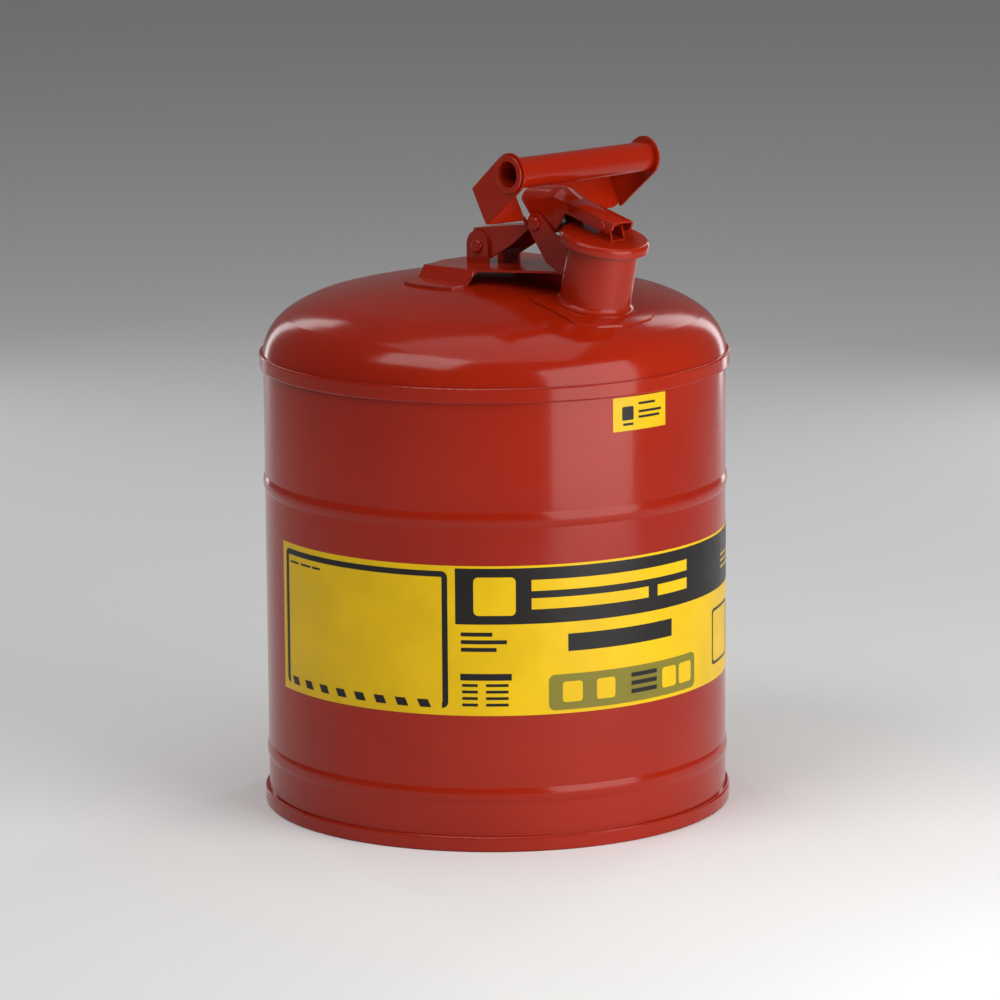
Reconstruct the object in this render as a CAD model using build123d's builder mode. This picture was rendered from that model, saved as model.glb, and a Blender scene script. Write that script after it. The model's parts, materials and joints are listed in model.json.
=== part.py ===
from build123d import *
import os
from math import cos, degrees, sin

os.makedirs("parts", exist_ok=True)

# Safety gas can, 19 L.  +Z up, +X towards the pouring spout, origin at the centre of the base.
# Every length is in millimetres.

# ---- sheet-metal drum ------------------------------------------------------------------
SHEET = 0.8                      # body sheet thickness
SEAT = 0.02                      # paint-thin gap between pieces welded or crimped together
WALL_R = 146.3                   # outer radius of the drum wall
WALL_BASE, WALL_TOP = 0.9, 285.5
BEAD_HEIGHTS = (35.0, 208.0)     # centre heights of the two rolled stiffening beads
BEAD_HALF, BEAD_PROUD = 5.0, 1.1
SEAM_R = 148.8                   # outer radius of both rolled seams
SEAM_ROUND = 1.1
TOP_SEAM = (281.0, 290.5)
CHIME_TOP = 9.5
PAN_FLOOR = 8.0                  # recessed floor of the bottom pan
CHUCK_R = 145.4                  # outer radius of the pan's inner (chuck) wall

# ---- dome: three tangent arcs from the rim to the axis ------------------------------------
DOME_RIM = (147.1, 286.0)
SHOULDER_R, SHOULDER_END = 34.4, 0.94        # radius, angle above horizontal in radians
HAUNCH_R, HAUNCH_END = 75.0, 1.31

# ---- spout, square to the dome --------------------------------------------------------------
SPOUT_X = 93.0                   # where the spout axis leaves the dome
SPOUT_LENGTH = 38.0
SPOUT_R, SPOUT_BORE = 22.3, 21.3
SPOUT_ROOT = 12.0                # the neck starts this far below the dome before trimming
SKIRT_R = 3.2                    # radius of the weld fillet between neck and flange
SKIRT_MIDDLE = 1 - 0.5 ** 0.5    # where a quarter circle's middle lies, as a share of its radius
RIM_ROLL = 0.9
FLANGE_T = 1.2
FLANGE_OUTLINE = [(70, -34), (112, -35), (121, -22), (124.5, -6), (124.5, 6), (121, 22),
                  (112, 35), (70, 34)]
FLANGE_CORNER = 6.0

# ---- flame arrester inside the spout, depths measured down from the mouth ------------------
COLLAR_TOP, COLLAR_BASE, COLLAR_R = -2.4, -8.0, 21.25
MESH_T = 0.5
MESH_OUTER_R, MESH_INNER_R = 17.4, 14.4
MESH_BASE = -89.0
CAP_BASE, CAP_LIP, CAP_T = -90.5, -84.0, 1.0

# ---- saddle bracket ------------------------------------------------------------------------
BRACKET_T = 1.5
SADDLE_TOP = 346.5               # top of the raised plate at X = 0
SADDLE_SLOPE = 2.2               # degrees, rising towards the spout
SADDLE_OUTLINE = [(88, 14), (76, 14), (24, 38.5), (22.5, 46), (20, 54), (10, 58), (-8, 59.5),
                  (-21, 57), (-26.5, 51), (-22, 42), (-24, 30), (-30, 16), (-30, 0)]
SADDLE_CORNER = 2.0
RAMP_TOP_Y, RAMP_FOOT_Y = 38.6, 46.6
RAMP_FOOT_Z = 335.0
FOOT_INNER_Y = 44.9
EAR_IN, EAR_OUT = 12.2, 13.8     # |Y| of the four upright ears
REAR_EAR_R, REAR_EAR_BASE = 10.0, 345.8
FRONT_EAR_R = 7.0
FRONT_EAR_OUTLINE = [(58.0, 382.2), (71, 372.5), (88, 366), (86, 347.6), (71, 347.6),
                     (74, 349), (64, 353.5), (48.0, 372.9)]

# ---- pins -----------------------------------------------------------------------------------
HANDLE_PIVOT = (0.0, 357.0)      # X, Z of the handle pivot, axis along Y
LID_HINGE = (54.0, 376.5)        # X, Z of the lid hinge, axis along Y
PIN_R, RUNNING_GAP = 3.0, 0.05
RIVET_HEAD_R, RIVET_HEAD_T = 4.5, 1.9
LUG_PIN = (109.0, 380.8)
LUG_PIN_R, LUG_HEAD_R, LUG_HEAD_T = 2.0, 3.2, 1.2

# ---- handle ---------------------------------------------------------------------------------
YOKE_T = 1.5
SHANK_IN, SHANK_OUT = 10.3, 11.8
SHANK_SIDE = [(-5, 368), (36, 374), (45.2, 374.9), (44.4, 371.8), (30, 361), (10, 350), (4, 349.2),
              (-4, 349.2), (-9, 354), (-8.5, 361)]
SHANK_WEB = [(-5, 368), (36, 374), (45.2, 374.9), (45.2, 373.3), (36, 372.4), (-5, 366.4)]
EAR_PLATE_Y = (55.8, 57.3)
EAR_PLATE = [(44.5, 402.5), (57, 381), (58, 381.5), (87.2, 404.4), (91, 414.5), (70.3, 424.5)]
EAR_PLATE_TIP_R = 13.0
WING_OUTER_LOW, WING_OUTER_HIGH = (57, 56.6, 381), (44.5, 56.6, 402.5)
WING_INNER_LOW, WING_INNER_HIGH = (45, 14.6, 378.1), (31.8, 14.6, 401.3)
WING_FOOT = [(45.9, 15, 375.6), (45.4, 11.45, 374.3), (44.6, 11.45, 375.8), (43.8, 12.3, 377.3),
             (42.4, 15, 380.9)]
WING_TOP_R = 5.0
GRIP = (79.0, 414.5)             # X, Z of the grip tube axis
GRIP_R, GRIP_BORE = 9.5, 8.2
GRIP_FLARE_R, GRIP_FLARE_T = 11.7, 1.8
BUSH_R = 4.8

# ---- lid ------------------------------------------------------------------------------------
LID_R, LID_BASE, LID_TOP = 28.0, 1.2, 7.2    # heights above the mouth, along the spout axis
LID_T, LID_ROUND = 1.4, 2.6
GASKET_R, GASKET_BASE, GASKET_TOP = 26.5, 0.3, 5.75
RETAINER_R, RETAINER_BASE, RETAINER_ROUND = 15.5, -1.0, 0.8
LUG_X = (-1.5, 12.5)             # lug base along the lid, from its centre forwards
LUG_IN, LUG_OUT, LUG_BASE_T = 4.4, 5.8, 1.4
LUG_BASE_HALF = 6.5
LUG_EAR = [(103.9, 373.8), (105.6, 380.8), (112.4, 380.8), (114.9, 371.6)]
LUG_EYE_R, LUG_CORNER = 3.4, 1.5
ARM_T = 1.4
# stations of the arm: X, half width, height of the side fold, height of the ridge
ARM_STATIONS = [(37.0, 11.1, 388.0, 398.0), (62.0, 11.1, 394.0, 400.2),
                (68.0, 10.9, 394.6, 399.4), (79.0, 8.7, 391.8, 393.4),
                (90.0, 8.7, 389.7, 390.8), (119.5, 8.7, 382.6, 383.7)]
ARM_SECTION_FLOOR = 360.0
ARM_SIDE = [(37.0, 410), (38, 391), (48.4, 379.5), (48.8, 373.4), (54, 370.0), (69, 372.6),
            (75.8, 385.2), (88, 382.3), (114, 376.4), (118, 378.6), (119.2, 382.6), (119, 410)]
ARM_HUB_R = 6.5
DIMPLE = (61.0, 389.5)           # X, Z of the pressed boss on each cheek
DIMPLE_R, DIMPLE_PROUD = 2.6, 0.4
SPRING_R, SPRING_WIRE = 6.3, 0.8
SPRING_LENGTH, SPRING_PITCH = 15.0, 1.875
SPRING_LEG = 9.0

# ---- labels ---------------------------------------------------------------------------------
LABEL_T = 0.15
WRAP_LABEL = (-107.2, 152.0, 86.0, 180.0)        # start angle, end angle, bottom, top
APPROVAL_LABEL = (-12.4, 3.8, 259.0, 280.0)


# ---- shared shapes --------------------------------------------------------------------------
shoulder_centre = (DOME_RIM[0] - SHOULDER_R, DOME_RIM[1])
haunch_centre = (shoulder_centre[0] + (SHOULDER_R - HAUNCH_R) * cos(SHOULDER_END),
                 shoulder_centre[1] + (SHOULDER_R - HAUNCH_R) * sin(SHOULDER_END))
haunch_tip = (haunch_centre[0] + HAUNCH_R * cos(HAUNCH_END),
              haunch_centre[1] + HAUNCH_R * sin(HAUNCH_END))
crown_r = haunch_tip[0] / cos(HAUNCH_END)
crown_centre = (0.0, haunch_tip[1] - crown_r * sin(HAUNCH_END))

spout_lean_sin = SPOUT_X / crown_r
spout_lean_cos = (1 - spout_lean_sin ** 2) ** 0.5
spout_dir = (spout_lean_sin, 0, spout_lean_cos)
mouth = (SPOUT_X + SPOUT_LENGTH * spout_lean_sin, 0,
         crown_centre[1] + (crown_r + SPOUT_LENGTH) * spout_lean_cos)
mouth_plane = Plane(origin=mouth, x_dir=(spout_lean_cos, 0, -spout_lean_sin), z_dir=spout_dir)
mouth_section = Plane(origin=mouth, x_dir=(spout_lean_cos, 0, -spout_lean_sin), z_dir=(0, -1, 0))
spout_axis = Axis(mouth, spout_dir)


def dome_arcs(offset):
    """The three profile arcs of the dome, moved outwards by offset."""
    first, second = degrees(SHOULDER_END), degrees(HAUNCH_END)
    return (CenterArc(shoulder_centre, SHOULDER_R + offset, 0, first),
            CenterArc(haunch_centre, HAUNCH_R + offset, first, second - first),
            CenterArc(crown_centre, crown_r + offset, second, 90 - second))


def dome_layer(inner, outer):
    """Solid skin between two offsets of the dome surface."""
    with BuildPart() as layer:
        with BuildSketch(Plane.XZ):
            with BuildLine():
                low = dome_arcs(inner)
                high = dome_arcs(outer)
                Line(low[0] @ 0, high[0] @ 0)
                Line(low[2] @ 1, high[2] @ 1)
            make_face()
        revolve(axis=Axis.Z)
    return layer.part


def under_dome(offset):
    """Everything below the dome surface moved outwards by offset."""
    with BuildPart() as solid:
        with BuildSketch(Plane.XZ):
            with BuildLine():
                arcs = dome_arcs(offset)
                Polyline(arcs[2] @ 1, (0, DOME_RIM[1]), arcs[0] @ 0)
            make_face()
        revolve(axis=Axis.Z)
    return solid.part


def prism(outline, bottom, top, corner=0.0):
    """Upright prism on an X-Y outline."""
    with BuildPart() as solid:
        with BuildSketch(Plane.XY.offset(bottom)) as face:
            Polygon(*outline, align=None)
            if corner:
                fillet(face.vertices(), corner)
        extrude(amount=top - bottom)
    return solid.part


def plate(outline, y_low, y_high, discs=(), holes=()):
    """Flat plate with an X-Z outline between two Y values; discs and holes are ((x, z), r)."""
    with BuildPart() as solid:
        with BuildSketch(Plane.XZ.offset(-y_high)):
            if outline:
                Polygon(*outline, align=None)
            for centre, radius in discs:
                with Locations(centre):
                    Circle(radius)
            for centre, radius in holes:
                with Locations(centre):
                    Circle(radius, mode=Mode.SUBTRACT)
        extrude(amount=y_high - y_low)
    return solid.part


def rod(centre, radius, half_length):
    """Round bar along Y."""
    return plate([], -half_length, half_length, discs=[(centre, radius)])


def turned_on_spout(profile):
    """Solid of revolution about the spout axis from (radius, height above the mouth) points."""
    with BuildPart() as solid:
        with BuildSketch(mouth_section):
            Polygon(*profile, align=None)
        revolve(axis=spout_axis)
    return solid.part


def tube_on_spout(outer, inner, bottom, top):
    """Plain tube about the spout axis."""
    return turned_on_spout([(inner, bottom), (outer, bottom), (outer, top), (inner, top)])


def headed_pin(centre, radius, face_y, head_r, head_t):
    """Pin along Y with a domed rivet head beyond each outer face."""
    with BuildPart() as solid:
        add(rod(centre, radius, face_y + head_t / 2))
        for side in (1, -1):
            with BuildSketch(Plane(origin=(centre[0], side * (face_y + SEAT), centre[1]),
                                   x_dir=(1, 0, 0), z_dir=(0, side, 0))):
                Circle(head_r)
            extrude(amount=head_t)
            fillet(solid.faces().sort_by(Axis.Y)[-1 if side > 0 else 0].edges(), head_t * 0.8)
    return solid.part


def curved_label(start, end, bottom, top):
    """Thin label wrapped round the drum wall between two angles."""
    with BuildPart() as solid:
        with BuildSketch(Plane.XZ):
            with Locations((WALL_R + SEAT + LABEL_T / 2, (bottom + top) / 2)):
                Rectangle(LABEL_T, top - bottom)
        revolve(axis=Axis.Z, revolution_arc=end - start)
    return solid.part.rotate(Axis.Z, start)


# ---- drum -----------------------------------------------------------------------------------
def wall_side(radius, up):
    """One side of the drum wall with its beads, drawn upwards or downwards."""
    heights = BEAD_HEIGHTS if up else BEAD_HEIGHTS[::-1]
    near = -BEAD_HALF if up else BEAD_HALF
    here = (radius, WALL_BASE if up else WALL_TOP)
    for height in heights:
        Line(here, (radius, height + near))
        here = (radius, height - near)
        ThreePointArc((radius, height + near), (radius + BEAD_PROUD, height), here)
    Line(here, (radius, WALL_TOP if up else WALL_BASE))


with BuildPart() as body_shell:
    with BuildSketch(Plane.XZ):
        with BuildLine():
            wall_side(WALL_R, True)
            wall_side(WALL_R - SHEET, False)
            for end in (WALL_BASE, WALL_TOP):
                Line((WALL_R - SHEET, end), (WALL_R, end))
        make_face()
    revolve(axis=Axis.Z)

with BuildPart() as bottom_pan:
    with BuildSketch(Plane.XZ) as pan_section:
        Polygon((0, PAN_FLOOR), (CHUCK_R, PAN_FLOOR), (CHUCK_R, SHEET), (WALL_R + SEAT, SHEET),
                (WALL_R + SEAT, CHIME_TOP), (SEAM_R, CHIME_TOP), (SEAM_R, 0),
                (CHUCK_R - SHEET, 0), (CHUCK_R - SHEET, PAN_FLOOR - SHEET), (0, PAN_FLOOR - SHEET),
                align=None)
        fillet([v for v in pan_section.vertices() if v.X > SEAM_R - SEAT], SEAM_ROUND)
    revolve(axis=Axis.Z)

with BuildPart() as top_dome:
    with BuildSketch(Plane.XZ) as seam_section:
        Polygon((WALL_R + SEAT, TOP_SEAM[0]), (SEAM_R, TOP_SEAM[0]), (SEAM_R, TOP_SEAM[1]),
                (WALL_R + SEAT, TOP_SEAM[1]), align=None)
        fillet([v for v in seam_section.vertices() if v.X > SEAM_R - SEAT], SEAM_ROUND)
    revolve(axis=Axis.Z)
    add(dome_layer(-SHEET, 0))
    add(tube_on_spout(SPOUT_BORE, 0, -SPOUT_LENGTH - SPOUT_ROOT, 0), mode=Mode.SUBTRACT)

# ---- spout and flame arrester ---------------------------------------------------------------
with BuildPart() as spout_neck:
    root = -SPOUT_LENGTH - SPOUT_ROOT
    with BuildSketch(mouth_section):
        with BuildLine():
            skirt_foot = (SPOUT_R + SKIRT_R, -SPOUT_LENGTH + FLANGE_T)
            skirt_top = (SPOUT_R, skirt_foot[1] + SKIRT_R)
            Polyline(skirt_foot, (skirt_foot[0], root), (0, root), (0, 0), (SPOUT_R - RIM_ROLL / 3, 0),
                     (SPOUT_R, -RIM_ROLL), skirt_top)
            ThreePointArc(skirt_top, (SPOUT_R + SKIRT_R * SKIRT_MIDDLE,
                                      skirt_foot[1] + SKIRT_R * SKIRT_MIDDLE), skirt_foot)
        make_face()
    revolve(axis=spout_axis)
    add(dome_layer(SEAT, FLANGE_T) & prism(FLANGE_OUTLINE, DOME_RIM[1], SADDLE_TOP, FLANGE_CORNER))
    add(under_dome(SEAT), mode=Mode.SUBTRACT)
    add(tube_on_spout(SPOUT_BORE, 0, root, 1), mode=Mode.SUBTRACT)

with BuildPart() as arrester_collar:
    add(turned_on_spout([(MESH_OUTER_R + SEAT, COLLAR_BASE), (COLLAR_R, COLLAR_BASE),
                         (COLLAR_R, COLLAR_TOP), (MESH_INNER_R, COLLAR_TOP),
                         (MESH_INNER_R, COLLAR_TOP - CAP_T), (MESH_OUTER_R + SEAT, COLLAR_TOP - CAP_T)]))

with BuildPart() as arrester_mesh_outer:
    add(tube_on_spout(MESH_OUTER_R, MESH_OUTER_R - MESH_T, MESH_BASE, COLLAR_TOP - CAP_T - SEAT))

with BuildPart() as arrester_mesh_inner:
    add(tube_on_spout(MESH_INNER_R + MESH_T, MESH_INNER_R, MESH_BASE, COLLAR_TOP - CAP_T - SEAT))

with BuildPart() as arrester_end_cap:
    add(turned_on_spout([(0, CAP_BASE), (MESH_OUTER_R + CAP_T, CAP_BASE),
                         (MESH_OUTER_R + CAP_T, CAP_LIP), (MESH_OUTER_R + SEAT, CAP_LIP),
                         (MESH_OUTER_R + SEAT, CAP_BASE + CAP_T), (0, CAP_BASE + CAP_T)]))

# ---- saddle bracket -------------------------------------------------------------------------
with BuildPart() as saddle_bracket:
    with BuildSketch(Plane.YZ.offset(SADDLE_OUTLINE[-1][0])):
        Polygon(*[(side * y, z) for side, points in (
            (1, [(RAMP_TOP_Y, SADDLE_TOP), (RAMP_FOOT_Y, RAMP_FOOT_Z),
                 (RAMP_FOOT_Y - 2 * BRACKET_T, RAMP_FOOT_Z),
                 (RAMP_TOP_Y - BRACKET_T, SADDLE_TOP - BRACKET_T)]),
            (-1, [(RAMP_TOP_Y - BRACKET_T, SADDLE_TOP - BRACKET_T),
                  (RAMP_FOOT_Y - 2 * BRACKET_T, RAMP_FOOT_Z), (RAMP_FOOT_Y, RAMP_FOOT_Z),
                  (RAMP_TOP_Y, SADDLE_TOP)])) for y, z in points], align=None)
    extrude(amount=SADDLE_OUTLINE[0][0] - SADDLE_OUTLINE[-1][0])
    tilted = saddle_bracket.part.rotate(Axis((0, 0, SADDLE_TOP), (0, 1, 0)), -SADDLE_SLOPE)
    add(tilted, mode=Mode.REPLACE)
    feet = dome_layer(SEAT, BRACKET_T)
    for side in (1, -1):
        strip = [(-60, side * FOOT_INNER_Y), (60, side * FOOT_INNER_Y), (60, side * 70), (-60, side * 70)]
        add(feet & prism(strip, RAMP_FOOT_Z - 20, SADDLE_TOP))
    whole_outline = SADDLE_OUTLINE + [(x, -y) for x, y in SADDLE_OUTLINE[-2::-1]]
    add(prism(whole_outline, DOME_RIM[1], SADDLE_TOP + 20, SADDLE_CORNER), mode=Mode.INTERSECT)
    for side in (1, -1):
        low, high = (EAR_IN, EAR_OUT) if side > 0 else (-EAR_OUT, -EAR_IN)
        rear_foot = [(-REAR_EAR_R, REAR_EAR_BASE), (REAR_EAR_R, REAR_EAR_BASE),
                     (REAR_EAR_R, HANDLE_PIVOT[1]), (-REAR_EAR_R, HANDLE_PIVOT[1])]
        add(plate(rear_foot, low, high, discs=[(HANDLE_PIVOT, REAR_EAR_R)],
                  holes=[(HANDLE_PIVOT, PIN_R + SEAT)]))
        add(plate(FRONT_EAR_OUTLINE, low, high, discs=[(LID_HINGE, FRONT_EAR_R)],
                  holes=[(LID_HINGE, PIN_R + SEAT)]))
    add(under_dome(SEAT), mode=Mode.SUBTRACT)
    add(tube_on_spout(SPOUT_R + SEAT, 0, -SPOUT_LENGTH - SPOUT_ROOT, SPOUT_ROOT), mode=Mode.SUBTRACT)

# ---- pins fixed in the bracket --------------------------------------------------------------
with BuildPart() as handle_pivot_pin:
    add(headed_pin(HANDLE_PIVOT, PIN_R, EAR_OUT, RIVET_HEAD_R, RIVET_HEAD_T))

with BuildPart() as lid_hinge_pin:
    add(headed_pin(LID_HINGE, PIN_R, EAR_OUT, RIVET_HEAD_R, RIVET_HEAD_T))

# ---- labels ---------------------------------------------------------------------------------
with BuildPart() as wrap_label:
    add(curved_label(*WRAP_LABEL))

with BuildPart() as approval_label:
    add(curved_label(*APPROVAL_LABEL))

# ---- handle ---------------------------------------------------------------------------------
wing_up = Vector(*WING_OUTER_HIGH) - Vector(*WING_OUTER_LOW)
wing_in = Vector(*WING_INNER_LOW) - Vector(*WING_OUTER_LOW)
wing_plane = Plane(origin=WING_OUTER_LOW, x_dir=wing_up, z_dir=wing_up.cross(wing_in))


def wing_blank(corners, radius=0.0):
    """Flat sheet in the wing plane through the given corner points."""
    local = [wing_plane.to_local_coords(Vector(*corner)) for corner in corners]
    with BuildPart() as solid:
        with BuildSketch(wing_plane) as face:
            Polygon(*[(p.X, p.Y) for p in local], align=None)
            if radius:
                fillet(face.vertices().sort_by_distance(wing_plane.origin)[-1], radius)
        extrude(amount=YOKE_T / 2, both=True)
    return solid.part


with BuildPart() as handle_yoke:
    for low, high in ((SHANK_IN, SHANK_OUT), (-SHANK_OUT, -SHANK_IN)):
        add(plate(SHANK_SIDE, low, high, holes=[(HANDLE_PIVOT, PIN_R + RUNNING_GAP)]))
    add(plate(SHANK_WEB, -SHANK_OUT, SHANK_OUT))
    wing = wing_blank([WING_OUTER_LOW, WING_OUTER_HIGH, WING_INNER_HIGH, WING_INNER_LOW], WING_TOP_R)
    foot = wing_blank(WING_FOOT)
    ear = plate(EAR_PLATE, *EAR_PLATE_Y, discs=[(GRIP, EAR_PLATE_TIP_R)],
                holes=[(GRIP, GRIP_R + SEAT)])
    for piece in (wing, foot, ear):
        add(piece)
        add(mirror(piece, about=Plane.XZ, mode=Mode.PRIVATE))

with BuildPart() as grip_tube:
    add(rod(GRIP, GRIP_R, EAR_PLATE_Y[1] + GRIP_FLARE_T))
    for side in (1, -1):
        flare_at = side * (EAR_PLATE_Y[1] + SEAT + GRIP_FLARE_T / 2)
        with Locations(Location((GRIP[0], flare_at, GRIP[1]), (90, 0, 0))):
            Cylinder(GRIP_FLARE_R, GRIP_FLARE_T)
    fillet([e for e in grip_tube.edges().filter_by(GeomType.CIRCLE) if e.radius > GRIP_FLARE_R - SEAT],
           GRIP_FLARE_T * 0.45)
    add(rod(GRIP, GRIP_BORE, 2 * EAR_PLATE_Y[1]), mode=Mode.SUBTRACT)

with BuildPart() as pivot_bush:
    add(plate([], -SHANK_IN + SEAT, SHANK_IN - SEAT, discs=[(HANDLE_PIVOT, BUSH_R)],
              holes=[(HANDLE_PIVOT, PIN_R + RUNNING_GAP)]))


# ---- lid ------------------------------------------------------------------------------------
def arm_stations(inset):
    """Solid lofted through the arched cross-sections of the arm, shrunk by the sheet thickness."""
    with BuildPart() as solid:
        for x, half, fold, ridge in ARM_STATIONS:
            with BuildSketch(Plane.YZ.offset(x)):
                with BuildLine():
                    side, eave = half - inset, fold - inset / 2
                    Polyline((-side, eave), (-side, ARM_SECTION_FLOOR), (side, ARM_SECTION_FLOOR),
                             (side, eave))
                    ThreePointArc((-side, eave), (0, ridge - inset), (side, eave))
                make_face()
        loft(ruled=True)
    return solid.part


with BuildPart() as lid_arm:
    add(arm_stations(0))
    add(arm_stations(ARM_T), mode=Mode.SUBTRACT)
    add(plate(ARM_SIDE, -2 * EAR_OUT, 2 * EAR_OUT, discs=[(LID_HINGE, ARM_HUB_R)],
              holes=[(LID_HINGE, PIN_R + RUNNING_GAP), (LUG_PIN, LUG_PIN_R + SEAT)]),
        mode=Mode.INTERSECT)
    cheek = ARM_STATIONS[0][1]
    for low, high in ((cheek - ARM_T / 2, cheek + DIMPLE_PROUD), (-cheek - DIMPLE_PROUD, ARM_T / 2 - cheek)):
        add(plate([], low, high, discs=[(DIMPLE, DIMPLE_R)]))

with BuildPart() as lid_disc:
    with BuildSketch(mouth_section) as disc_section:
        Polygon((0, LID_TOP), (LID_R, LID_TOP), (LID_R, LID_BASE), (LID_R - LID_T, LID_BASE),
                (LID_R - LID_T, LID_TOP - LID_T), (0, LID_TOP - LID_T), align=None)
        fillet(disc_section.vertices().sort_by_distance((LID_R, LID_TOP))[0], LID_ROUND)
    revolve(axis=spout_axis)

with BuildPart() as lid_gasket:
    add(turned_on_spout([(0, GASKET_BASE), (GASKET_R, GASKET_BASE), (GASKET_R, GASKET_TOP),
                         (0, GASKET_TOP)]))

with BuildPart() as gasket_retainer:
    add(turned_on_spout([(0, RETAINER_BASE), (RETAINER_R - RETAINER_ROUND, RETAINER_BASE),
                         (RETAINER_R, RETAINER_BASE + RETAINER_ROUND),
                         (RETAINER_R, GASKET_BASE - SEAT), (0, GASKET_BASE - SEAT)]))

with BuildPart() as lid_lug:
    with BuildSketch(mouth_plane.offset(LID_TOP + SEAT)):
        with Locations(((LUG_X[0] + LUG_X[1]) / 2, 0)):
            RectangleRounded(LUG_X[1] - LUG_X[0], 2 * LUG_BASE_HALF, LUG_CORNER)
    extrude(amount=LUG_BASE_T)
    for low, high in ((LUG_IN, LUG_OUT), (-LUG_OUT, -LUG_IN)):
        add(plate(LUG_EAR, low, high, discs=[(LUG_PIN, LUG_EYE_R)],
                  holes=[(LUG_PIN, LUG_PIN_R + SEAT)]))
    add(tube_on_spout(LID_R, 0, 0, LID_TOP + SEAT), mode=Mode.SUBTRACT)

with BuildPart() as lid_pin:
    add(headed_pin(LUG_PIN, LUG_PIN_R, ARM_STATIONS[-1][1], LUG_HEAD_R, LUG_HEAD_T))

with BuildPart() as lid_spring:
    with BuildLine() as spring_path:
        coil = Helix(SPRING_PITCH, SPRING_LENGTH, SPRING_R,
                     center=(LID_HINGE[0], -SPRING_LENGTH / 2, LID_HINGE[1]), direction=(0, 1, 0))
        Line(coil @ 0, coil @ 0 - (coil % 0) * SPRING_LEG)
        Line(coil @ 1, coil @ 1 + (coil % 1) * SPRING_LEG)
    spring_start = spring_path.wires()[0]
    with BuildSketch(Plane(origin=spring_start @ 0, z_dir=spring_start % 0)):
        Circle(SPRING_WIRE)
    sweep(path=spring_start)

# ---- names and files ------------------------------------------------------------------------
body_shell.part.label = "body_shell"
export_step(body_shell.part, "parts/body_shell.step")
bottom_pan.part.label = "bottom_pan"
export_step(bottom_pan.part, "parts/bottom_pan.step")
top_dome.part.label = "top_dome"
export_step(top_dome.part, "parts/top_dome.step")
spout_neck.part.label = "spout_neck"
export_step(spout_neck.part, "parts/spout_neck.step")
arrester_collar.part.label = "arrester_collar"
export_step(arrester_collar.part, "parts/arrester_collar.step")
arrester_mesh_outer.part.label = "arrester_mesh_outer"
export_step(arrester_mesh_outer.part, "parts/arrester_mesh_outer.step")
arrester_mesh_inner.part.label = "arrester_mesh_inner"
export_step(arrester_mesh_inner.part, "parts/arrester_mesh_inner.step")
arrester_end_cap.part.label = "arrester_end_cap"
export_step(arrester_end_cap.part, "parts/arrester_end_cap.step")
saddle_bracket.part.label = "saddle_bracket"
export_step(saddle_bracket.part, "parts/saddle_bracket.step")
handle_pivot_pin.part.label = "handle_pivot_pin"
export_step(handle_pivot_pin.part, "parts/handle_pivot_pin.step")
lid_hinge_pin.part.label = "lid_hinge_pin"
export_step(lid_hinge_pin.part, "parts/lid_hinge_pin.step")
wrap_label.part.label = "wrap_label"
export_step(wrap_label.part, "parts/wrap_label.step")
approval_label.part.label = "approval_label"
export_step(approval_label.part, "parts/approval_label.step")
handle_yoke.part.label = "handle_yoke"
export_step(handle_yoke.part, "parts/handle_yoke.step")
grip_tube.part.label = "grip_tube"
export_step(grip_tube.part, "parts/grip_tube.step")
pivot_bush.part.label = "pivot_bush"
export_step(pivot_bush.part, "parts/pivot_bush.step")
lid_arm.part.label = "lid_arm"
export_step(lid_arm.part, "parts/lid_arm.step")
lid_disc.part.label = "lid_disc"
export_step(lid_disc.part, "parts/lid_disc.step")
lid_gasket.part.label = "lid_gasket"
export_step(lid_gasket.part, "parts/lid_gasket.step")
gasket_retainer.part.label = "gasket_retainer"
export_step(gasket_retainer.part, "parts/gasket_retainer.step")
lid_lug.part.label = "lid_lug"
export_step(lid_lug.part, "parts/lid_lug.step")
lid_pin.part.label = "lid_pin"
export_step(lid_pin.part, "parts/lid_pin.step")
lid_spring.part.label = "lid_spring"
export_step(lid_spring.part, "parts/lid_spring.step")
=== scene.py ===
import bpy
import json
from math import cos, radians, sin
from mathutils import Matrix, Vector


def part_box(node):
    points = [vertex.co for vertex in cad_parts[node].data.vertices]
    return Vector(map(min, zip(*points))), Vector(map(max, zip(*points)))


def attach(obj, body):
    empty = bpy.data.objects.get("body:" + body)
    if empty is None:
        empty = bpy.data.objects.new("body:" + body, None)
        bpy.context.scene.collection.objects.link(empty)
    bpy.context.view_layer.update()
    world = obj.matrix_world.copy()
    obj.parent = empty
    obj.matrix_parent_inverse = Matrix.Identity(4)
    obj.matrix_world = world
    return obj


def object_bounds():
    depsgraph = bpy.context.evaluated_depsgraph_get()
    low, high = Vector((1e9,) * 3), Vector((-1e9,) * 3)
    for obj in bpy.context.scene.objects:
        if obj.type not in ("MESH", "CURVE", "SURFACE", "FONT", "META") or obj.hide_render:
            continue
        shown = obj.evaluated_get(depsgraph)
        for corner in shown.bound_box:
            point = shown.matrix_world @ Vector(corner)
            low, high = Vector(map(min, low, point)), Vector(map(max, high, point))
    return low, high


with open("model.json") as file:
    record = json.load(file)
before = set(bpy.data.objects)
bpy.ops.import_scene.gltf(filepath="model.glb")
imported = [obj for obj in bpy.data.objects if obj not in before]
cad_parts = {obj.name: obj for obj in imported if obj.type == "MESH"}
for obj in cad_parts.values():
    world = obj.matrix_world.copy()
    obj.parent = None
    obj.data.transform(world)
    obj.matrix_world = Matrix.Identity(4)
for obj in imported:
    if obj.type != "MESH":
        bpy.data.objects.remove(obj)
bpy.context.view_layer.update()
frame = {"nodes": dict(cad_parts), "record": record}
nodes = frame["nodes"]

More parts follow.
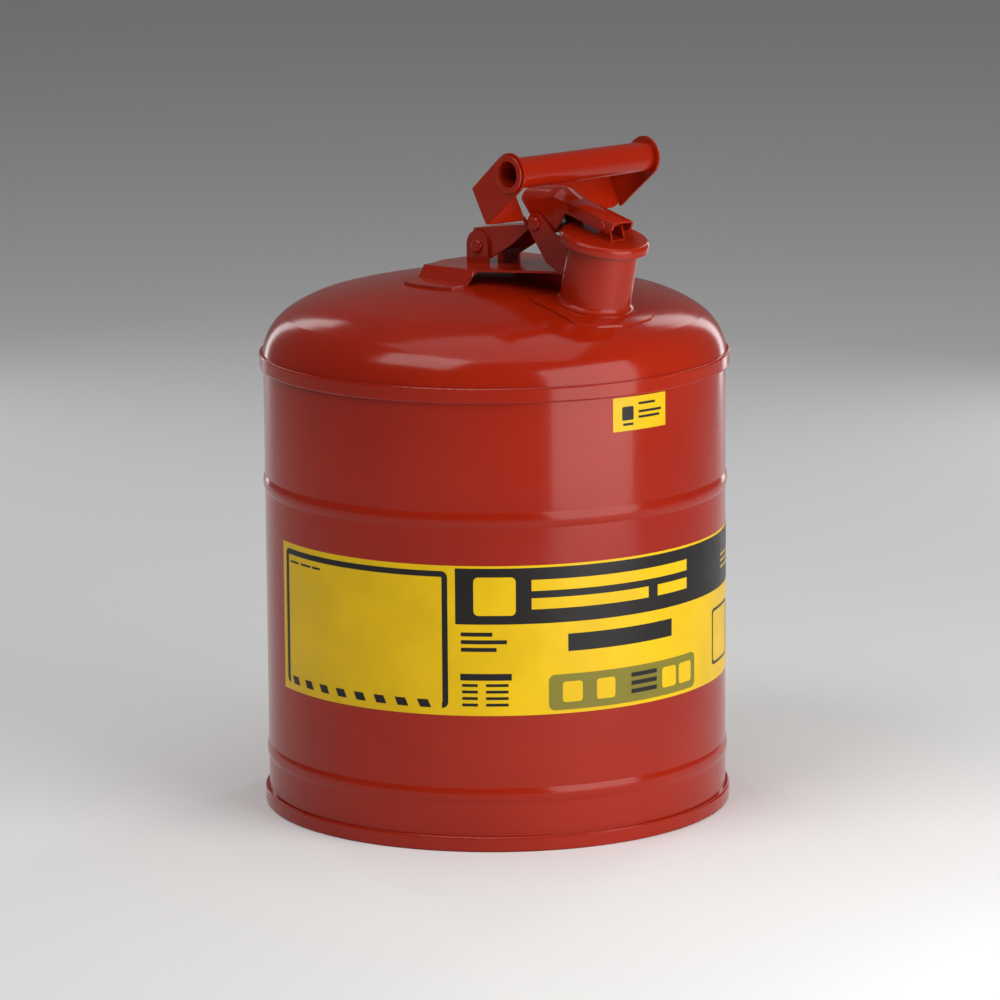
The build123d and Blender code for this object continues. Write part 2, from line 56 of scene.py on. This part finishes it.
# ---- driving values, in metres and degrees ------------------------------------------------
CAMERA_AT = Vector((2.5821, -2.3249, 0.88425))
CAMERA_FORWARD = Vector((-0.72828, 0.65684, -0.19535))
CAMERA_ROLL = -0.0077
CAMERA_LENS = 200.4                   # millimetres, as is the sensor
CAMERA_SENSOR = 36.0
MARK_STEP = 0.00008                   # one layer of print above the film
MARK_SPACING = 0.003                  # longest straight run on a curved print
FILL_SHARE = 0.001                    # a filled mark's inner loop, as a share of its outer one
LINE_HEIGHT = 0.0018                  # one fine printed line
WORLD_STRENGTH = 0.14

FILM_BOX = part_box("wrap_label")
LABEL_LOW, LABEL_HIGH = FILM_BOX[0][2], FILM_BOX[1][2]
FILM_R = -FILM_BOX[0][1]            # the film passes the -Y side, so this is its radius
SMALL_LOW, SMALL_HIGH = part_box("approval_label")[0][2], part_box("approval_label")[1][2]
CAN_LOW, CAN_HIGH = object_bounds()


# ---- node helpers ---------------------------------------------------------------------------
def new_material(name, roughness=0.4, metallic=0.0, coat=0.0, specular=0.5):
    """A Principled material; returns it with its tree and shader."""
    material = bpy.data.materials.new(name)
    material.use_nodes = True
    tree = material.node_tree
    shader = tree.nodes["Principled BSDF"]
    shader.inputs["Roughness"].default_value = roughness
    shader.inputs["Metallic"].default_value = metallic
    shader.inputs["Coat Weight"].default_value = coat
    shader.inputs["Specular IOR Level"].default_value = specular
    return material, tree, shader


def add_node(tree, kind, links=(), **values):
    """Adds a node, sets its properties and links {input: output socket}."""
    node = tree.nodes.new(kind)
    for key, value in values.items():
        setattr(node, key, value)
    for socket, source in dict(links).items():
        if isinstance(source, (int, float, tuple)):
            node.inputs[socket].default_value = source
        else:
            tree.links.new(source, node.inputs[socket])
    return node


def noise(tree, scale, detail=4.0, rough=0.5, stretch=(1, 1, 1)):
    """Noise in object space; returns its value socket."""
    place = add_node(tree, "ShaderNodeTexCoord").outputs["Object"]
    mapped = add_node(tree, "ShaderNodeMapping", {"Vector": place, "Scale": stretch}).outputs["Vector"]
    return add_node(tree, "ShaderNodeTexNoise", {"Vector": mapped, "Scale": float(scale), "Detail": detail,
                                                 "Roughness": rough}).outputs["Fac"]


def spread(tree, value, low, high, out_low, out_high):
    """Maps a value range to another, clamped."""
    return add_node(tree, "ShaderNodeMapRange", {"Value": value, "From Min": low, "From Max": high,
                                                 "To Min": out_low, "To Max": out_high}).outputs["Result"]


def blend_colours(tree, factor, first, second):
    """Mixes two colours (tuples or sockets) by a factor."""
    node = tree.nodes.new("ShaderNodeMix")
    node.data_type = "RGBA"
    for socket, source in ((node.inputs[0], factor), (node.inputs[6], first), (node.inputs[7], second)):
        if isinstance(source, (int, float, tuple)):
            socket.default_value = source
        else:
            tree.links.new(source, socket)
    return node.outputs[2]


def add_bump(tree, shader, height, strength, distance):
    """Bumps the shader's surface with a height."""
    bump = add_node(tree, "ShaderNodeBump", {"Height": height, "Strength": strength, "Distance": distance})
    tree.links.new(bump.outputs["Normal"], shader.inputs["Normal"])


# ---- materials ------------------------------------------------------------------------------
def enamel():
    """Gloss red enamel with orange peel, faint dust and an uneven gloss."""
    material, tree, shader = new_material("red enamel", coat=0.10, specular=0.24)
    broad = noise(tree, 9, 3)
    tone = blend_colours(tree, spread(tree, broad, 0.35, 0.65, 0.0, 1.0),
                         (0.30, 0.0110, 0.0016, 1), (0.35, 0.0150, 0.0022, 1))
    dust = spread(tree, noise(tree, 60, 8, 0.7), 0.62, 0.80, 0.0, 0.05)
    tree.links.new(blend_colours(tree, dust, tone, (0.42, 0.06, 0.035, 1)), shader.inputs["Base Color"])
    smear = noise(tree, 22, 6, 0.6, (1, 1, 0.35))
    tree.links.new(spread(tree, smear, 0.3, 0.75, 0.13, 0.21), shader.inputs["Roughness"])
    shader.inputs["Coat Roughness"].default_value = 0.06
    add_bump(tree, shader, noise(tree, 420, 2), 0.08, 0.0004)
    return material


def film(name, colour):
    """Printed film: even colour with a slight mottle and fine grain."""
    material, tree, shader = new_material(name, coat=0.05, specular=0.22)
    darker = tuple(c * 0.86 for c in colour[:3]) + (1,)
    patch = spread(tree, noise(tree, 30, 5), 0.3, 0.7, 0.0, 1.0)
    tree.links.new(blend_colours(tree, patch, darker, colour), shader.inputs["Base Color"])
    tree.links.new(spread(tree, noise(tree, 90, 4), 0.3, 0.7, 0.30, 0.42), shader.inputs["Roughness"])
    add_bump(tree, shader, noise(tree, 300, 3), 0.05, 0.0003)
    return material


def zinc():
    """Zinc-plated steel with soft spangle and fine brushing."""
    material, tree, shader = new_material("zinc steel", metallic=1.0)
    spangle = spread(tree, noise(tree, 70, 3), 0.35, 0.65, 0.0, 1.0)
    tree.links.new(blend_colours(tree, spangle, (0.46, 0.46, 0.44, 1), (0.62, 0.62, 0.60, 1)),
                   shader.inputs["Base Color"])
    tree.links.new(spread(tree, noise(tree, 140, 5, 0.6, (1, 8, 1)), 0.3, 0.7, 0.26, 0.42),
                   shader.inputs["Roughness"])
    add_bump(tree, shader, noise(tree, 260, 3, 0.5, (1, 8, 1)), 0.12, 0.0003)
    return material


def woven_mesh():
    """Stainless gauze: crossing wires as a fine bump, with painted shade in the gaps between them."""
    material, tree, shader = new_material("woven mesh", roughness=0.35, metallic=1.0)
    place = add_node(tree, "ShaderNodeTexCoord").outputs["Object"]
    # the brick cells between the light wire lines are painted near-black: painted shade standing in for the
    # open holes and the dark interior behind them
    grid = add_node(tree, "ShaderNodeTexBrick", {"Vector": place, "Scale": 400.0, "Mortar Size": 0.25,
                                                 "Color1": (0.05, 0.05, 0.05, 1),
                                                 "Color2": (0.08, 0.08, 0.08, 1),
                                                 "Mortar": (0.6, 0.6, 0.6, 1)})
    tree.links.new(grid.outputs["Color"], shader.inputs["Base Color"])
    add_bump(tree, shader, grid.outputs["Fac"], 0.5, 0.0004)
    return material


def rubber():
    """Black fuel-resistant rubber with a dull grain."""
    material, tree, shader = new_material("rubber")
    tree.links.new(blend_colours(tree, spread(tree, noise(tree, 50, 5), 0.3, 0.7, 0.0, 1.0),
                                 (0.012, 0.012, 0.012, 1), (0.03, 0.03, 0.028, 1)),
                   shader.inputs["Base Color"])
    tree.links.new(spread(tree, noise(tree, 80, 5), 0.3, 0.7, 0.55, 0.8), shader.inputs["Roughness"])
    add_bump(tree, shader, noise(tree, 500, 4), 0.3, 0.0003)
    return material


RED = enamel()
YELLOW = film("yellow film", (0.84, 0.53, 0.0015, 1))
BLACK = film("black print", (0.014, 0.012, 0.011, 1))
OLIVE = film("olive print", (0.23, 0.20, 0.022, 1))
ZINC = zinc()
finish_of_slot = {"enamel": RED, "zinc_steel": ZINC, "mesh_steel": woven_mesh(), "gasket_rubber": rubber(),
                  "label_film": YELLOW}

for entry in frame["record"]["subparts"]:
    target = nodes[entry["node"]]
    if not target.material_slots:
        target.data.materials.append(None)
    for holder in target.material_slots:
        holder.link = "OBJECT"
        holder.material = finish_of_slot[entry["material_slot"]]


# ---- print on the labels --------------------------------------------------------------------
def divide(loop):
    """Adds points to a closed loop so that no side is longer than the spacing."""
    fine = []
    for here, after in zip(loop, loop[1:] + loop[:1]):
        count = max(1, int((Vector(after) - Vector(here)).length / MARK_SPACING) + 1)
        fine += [tuple(Vector(here).lerp(Vector(after), i / count)) for i in range(count)]
    return fine


def rounded_loop(width, height, corner, steps=5):
    """Rectangle loop about the origin with rounded corners."""
    loop = []
    for quarter, (sx, sy) in enumerate(((1, 1), (-1, 1), (-1, -1), (1, -1))):
        for i in range(steps + 1):
            angle = radians(90) * (quarter + i / steps)
            loop.append((sx * (width / 2 - corner) + corner * cos(angle),
                         sy * (height / 2 - corner) + corner * sin(angle)))
    return loop


class Print:
    """Marks of one colour on the drum, gathered into one thin mesh."""

    def __init__(self, name, material, layer):
        self.name, self.material, self.layer = name, material, layer
        self.points, self.faces = [], []

    def place(self, u, z):
        """Adds the point at arc length u from the +X side, at height z."""
        radius = FILM_R + self.layer * MARK_STEP
        self.points.append((radius * cos(u / FILM_R), radius * sin(u / FILM_R), z))

    def band(self, outer, inner, at):
        """Faces from an outer loop inwards to its inner share, or to the middle if None."""
        outer = divide(outer)
        share = FILL_SHARE if inner is None else inner
        inner = [(x * share, y * share) for x, y in outer]
        reach = max((Vector(a) - Vector(b)).length for a, b in zip(outer, inner))
        rings = max(1, int(reach / MARK_SPACING) + 1)
        count, first = len(outer), len(self.points)
        for ring in range(rings + 1):
            for a, b in zip(outer, inner):
                spot = Vector(a).lerp(Vector(b), ring / rings)
                self.place(at[0] + spot.x, at[1] + spot.y)
        for ring in range(rings):
            for i in range(count):
                low, high = first + ring * count, first + (ring + 1) * count
                j = (i + 1) % count
                self.faces.append((low + i, low + j, high + j, high + i))

    def bar(self, left, right, bottom, top, slant=0.0):
        """Rectangle from left to right in arc length; slant moves its top edge sideways."""
        columns = max(1, int((right - left) / MARK_SPACING) + 1)
        first = len(self.points)
        for z, shift in ((bottom, 0.0), (top, slant)):
            for i in range(columns + 1):
                self.place(left + (right - left) * i / columns + shift, z)
        for i in range(columns):
            self.faces.append((first + i, first + i + 1, first + columns + 2 + i, first + columns + 1 + i))

    def build(self):
        """Makes the mesh object and lets it ride on the can."""
        mesh = bpy.data.meshes.new(self.name)
        mesh.from_pydata(self.points, [], self.faces)
        mesh.materials.append(self.material)
        piece = bpy.data.objects.new(self.name, mesh)
        bpy.context.scene.collection.objects.link(piece)
        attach(piece, "can")


def arc(angle):
    """Arc length on the film for an angle in degrees."""
    return radians(angle) * FILM_R


under = Print("print_black", BLACK, 1)
panel = Print("print_olive", OLIVE, 1)
over = Print("print_yellow", YELLOW, 2)
dark_over = Print("print_black_small", BLACK, 3)

# blank writing panel: thick frame with slanted dashes along its bottom
PANEL_LEFT, PANEL_RIGHT = arc(-105.4), arc(-53.8)
PANEL_TOP, PANEL_BOTTOM = LABEL_LOW + 0.0905, LABEL_LOW + 0.0045
FRAME_T = 0.0036
FRAME_CORNER = 0.004
CORNER_STEPS = 6
under.bar(PANEL_LEFT + FRAME_CORNER, PANEL_RIGHT - FRAME_CORNER, PANEL_TOP - FRAME_T, PANEL_TOP)
for side in (PANEL_LEFT, PANEL_RIGHT - FRAME_T):
    under.bar(side, side + FRAME_T, PANEL_BOTTOM + FRAME_CORNER, PANEL_TOP - FRAME_CORNER)
for corner_u, corner_z, turn in ((PANEL_LEFT, PANEL_TOP, 90), (PANEL_RIGHT, PANEL_TOP, 0),
                                 (PANEL_LEFT, PANEL_BOTTOM, 180), (PANEL_RIGHT, PANEL_BOTTOM, 270)):
    side = 1 if corner_u == PANEL_LEFT else -1
    rise = 1 if corner_z == PANEL_BOTTOM else -1
    centre = (corner_u + side * FRAME_CORNER, corner_z + rise * FRAME_CORNER)
    first = len(under.points)
    for i in range(CORNER_STEPS + 1):
        angle = radians(turn + 90 * i / CORNER_STEPS)
        for reach in (FRAME_CORNER, FRAME_CORNER - FRAME_T):
            under.place(centre[0] + reach * cos(angle), centre[1] + reach * sin(angle))
    for i in range(CORNER_STEPS):
        under.faces.append((first + 2 * i, first + 2 * i + 2, first + 2 * i + 3, first + 2 * i + 1))
DASHES = 8
PANEL_MARGIN = 0.006
dash_pitch = (PANEL_RIGHT - PANEL_LEFT - 2 * PANEL_MARGIN) / DASHES
for i in range(DASHES):
    left = PANEL_LEFT + PANEL_MARGIN + (i + 0.2) * dash_pitch
    under.bar(left, left + dash_pitch * 0.48, PANEL_BOTTOM, PANEL_BOTTOM + 0.0050, slant=-0.0022)
for i, length in enumerate((0.010, 0.011, 0.008)):
    left = PANEL_LEFT + PANEL_MARGIN + i * 0.0125
    under.bar(left, left + length, PANEL_TOP - 0.0085, PANEL_TOP - 0.0072)

# heading band with plain blocks
HEAD_TOP, HEAD_BOTTOM = LABEL_HIGH - 0.0015, LABEL_HIGH - 0.0365
HEAD_LEFT, HEAD_RIGHT = arc(-51.9), arc(75.0)
under.bar(HEAD_LEFT, HEAD_RIGHT, HEAD_BOTTOM, HEAD_TOP)
HEAD_MIDDLE = (HEAD_TOP + HEAD_BOTTOM) / 2
over.band(rounded_loop(0.0260, 0.0240, 0.003), None, (arc(-42.4), HEAD_MIDDLE))
BAR_HEIGHT = 0.0070
for left, right, rise in ((-33.5, -2.0, -0.0085), (-33.5, 12.0, 0.0030), (1.0, 12.0, -0.0085)):
    over.bar(arc(left), arc(right), HEAD_MIDDLE + rise, HEAD_MIDDLE + rise + BAR_HEIGHT)
for i in range(3):
    low = HEAD_MIDDLE + 0.002 - 0.004 * i
    over.bar(arc(33.0), arc(62.0 - 6 * i), low, low + 0.0012)

# plain bars below the band
under.bar(arc(-24.5), arc(6.0), HEAD_BOTTOM - 0.0185, HEAD_BOTTOM - 0.0075)
for i, end in enumerate((-43.0, -39.5, -42.0)):
    low = HEAD_BOTTOM - 0.0075 - 0.0048 * i
    under.bar(arc(-50.6), arc(end), low, low + 0.0025)
TABLE_TOP = LABEL_LOW + 0.0265
under.bar(arc(-50.8), arc(-38.4), TABLE_TOP - 0.0042, TABLE_TOP)
for row in range(4):
    low = TABLE_TOP - 0.0082 - row * 0.0041
    under.bar(arc(-50.4), arc(-46.6), low, low + LINE_HEIGHT)
    under.bar(arc(-44.6), arc(-39.2), low, low + LINE_HEIGHT)

# rounded olive panel with blank blocks and bars
OLIVE_LEFT, OLIVE_RIGHT = arc(-29.4), arc(15.5)
OLIVE_Z = LABEL_LOW + 0.0135
panel.band(rounded_loop(OLIVE_RIGHT - OLIVE_LEFT, 0.0225, 0.004), None,
           ((OLIVE_LEFT + OLIVE_RIGHT) / 2, OLIVE_Z))
for angle in (-23.4, -14.6, 5.0, 11.2):
    over.band(rounded_loop(0.0130, 0.0130, 0.002), None, (arc(angle), OLIVE_Z))
for i in range(3):
    low = OLIVE_Z + 0.0045 - i * 0.0052
    dark_over.bar(arc(-7.4), arc(0.6), low, low + 0.0027)

# blank frame and bars towards the far end of the film
under.band(rounded_loop(0.040, 0.036, 0.003), 0.90, (arc(33.5), LABEL_LOW + 0.028))
for row in range(9):
    low = LABEL_LOW + 0.010 + row * 0.0050
    under.bar(arc(50.0), arc(74.0 - (row * 5) % 7), low, low + LINE_HEIGHT)
    under.bar(arc(82.0), arc(143.0 - (row * 11) % 17), low, low + LINE_HEIGHT)
under.bar(arc(82.0), arc(146.0), LABEL_HIGH - 0.022, LABEL_HIGH - 0.008)

# small label under the top seam
small_height = SMALL_HIGH - SMALL_LOW
dark_over.band(rounded_loop(0.0085, 0.0085, 0.001), None, (arc(-8.2), SMALL_LOW + small_height * 0.52))
for share, left, right in ((0.74, -5.0, 0.2), (0.50, -5.0, 2.2), (0.34, -5.0, 1.6), (0.16, -9.6, -6.6)):
    low = SMALL_LOW + small_height * share
    dark_over.bar(arc(left), arc(right), low, low + small_height * 0.07)

for sheet in (under, panel, over, dark_over):
    sheet.build()


# ---- side seam ------------------------------------------------------------------------------
def tube_piece(name, path, radius, material, body):
    """Round bead along a list of points, as a curve."""
    curve = bpy.data.curves.new(name, "CURVE")
    curve.dimensions = "3D"
    curve.bevel_depth = radius
    curve.bevel_resolution = 3
    spline = curve.splines.new("POLY")
    spline.points.add(len(path) - 1)
    for point, spot in zip(spline.points, path):
        point.co = (*spot, 1.0)
    curve.materials.append(material)
    piece = bpy.data.objects.new(name, curve)
    bpy.context.scene.collection.objects.link(piece)
    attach(piece, body)


# the drum's welded seam, nearly opposite the spout
SEAM_ANGLE = radians(166.0)
SEAM_BEAD_R = 0.0006
SEAM_INSET = 0.00017                  # the bead's centre line, inside the film's radius
SEAM_FOOT, SEAM_HEAD = 0.012, 0.008   # bare wall below and above the bead
wall_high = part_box("body_shell")[1]
seam_r = FILM_R - SEAM_INSET
seam_path = [(seam_r * cos(SEAM_ANGLE), seam_r * sin(SEAM_ANGLE), z)
             for z in (CAN_LOW[2] + SEAM_FOOT, wall_high[2] - SEAM_HEAD)]
tube_piece("side_seam", seam_path, SEAM_BEAD_R, RED, "can")

# ---- stage, lights and camera ---------------------------------------------------------------
floor_mesh = bpy.data.meshes.new("floor")
FLOOR_HALF = 14.0
floor_mesh.from_pydata([(-FLOOR_HALF, -FLOOR_HALF, 0), (FLOOR_HALF, -FLOOR_HALF, 0),
                        (FLOOR_HALF, FLOOR_HALF, 0), (-FLOOR_HALF, FLOOR_HALF, 0)],
                       [], [(0, 1, 2, 3)])
floor = bpy.data.objects.new("floor", floor_mesh)
floor_material, floor_tree, floor_shader = new_material("pale floor", roughness=0.7)
floor_shader.inputs["Base Color"].default_value = (0.86, 0.86, 0.86, 1)
floor_mesh.materials.append(floor_material)
bpy.context.scene.collection.objects.link(floor)

toward = Vector((-CAMERA_FORWARD.x, -CAMERA_FORWARD.y, 0)).normalized()
sideways = Vector((-toward.y, toward.x, 0))        # to the picture's right
TARGET = Vector((0, 0, (CAN_LOW[2] + CAN_HIGH[2]) / 2))


def softbox(name, angle, height, distance, size, power):
    """Area light at an angle from the camera's side, positive to the right, facing the can."""
    light = bpy.data.lights.new(name, "AREA")
    light.shape = "RECTANGLE"
    light.size, light.size_y = size
    light.energy = power
    lamp = bpy.data.objects.new(name, light)
    spot = distance * (cos(radians(angle)) * toward + sin(radians(angle)) * sideways) + Vector((0, 0, height))
    lamp.location = spot
    lamp.rotation_euler = (TARGET - spot).to_track_quat("-Z", "Y").to_euler()
    bpy.context.scene.collection.objects.link(lamp)


softbox("right_band", 47, 0.45, 0.95, (0.80, 0.90), 8)
softbox("left_top", -48, 1.9, 1.3, (1.3, 0.8), 13)
softbox("right_rim", 150, 0.6, 1.5, (0.25, 1.6), 3)
softbox("left_rim", -150, 0.7, 1.6, (0.2, 1.4), 2)
softbox("overhead", 10, 3.2, 0.3, (3.0, 3.0), 30)

world = bpy.data.worlds.new("studio")
world.use_nodes = True
world.node_tree.nodes["Background"].inputs["Color"].default_value = (1, 1, 1, 1)
world.node_tree.nodes["Background"].inputs["Strength"].default_value = WORLD_STRENGTH
bpy.context.scene.world = world
bpy.context.scene.view_settings.view_transform = "Standard"

lens = bpy.data.cameras.new("camera")
lens.lens = CAMERA_LENS
lens.sensor_width = CAMERA_SENSOR
lens.clip_end = 50.0
camera = bpy.data.objects.new("camera", lens)
forward = CAMERA_FORWARD.normalized()
level_right = forward.cross(Vector((0, 0, 1))).normalized()
level_up = level_right.cross(forward)
right = cos(CAMERA_ROLL) * level_right + sin(CAMERA_ROLL) * level_up
up = -sin(CAMERA_ROLL) * level_right + cos(CAMERA_ROLL) * level_up
turn = Matrix((right, up, -forward)).transposed()
camera.matrix_world = Matrix.Translation(CAMERA_AT) @ turn.to_4x4()
bpy.context.scene.collection.objects.link(camera)
bpy.context.scene.camera = camera
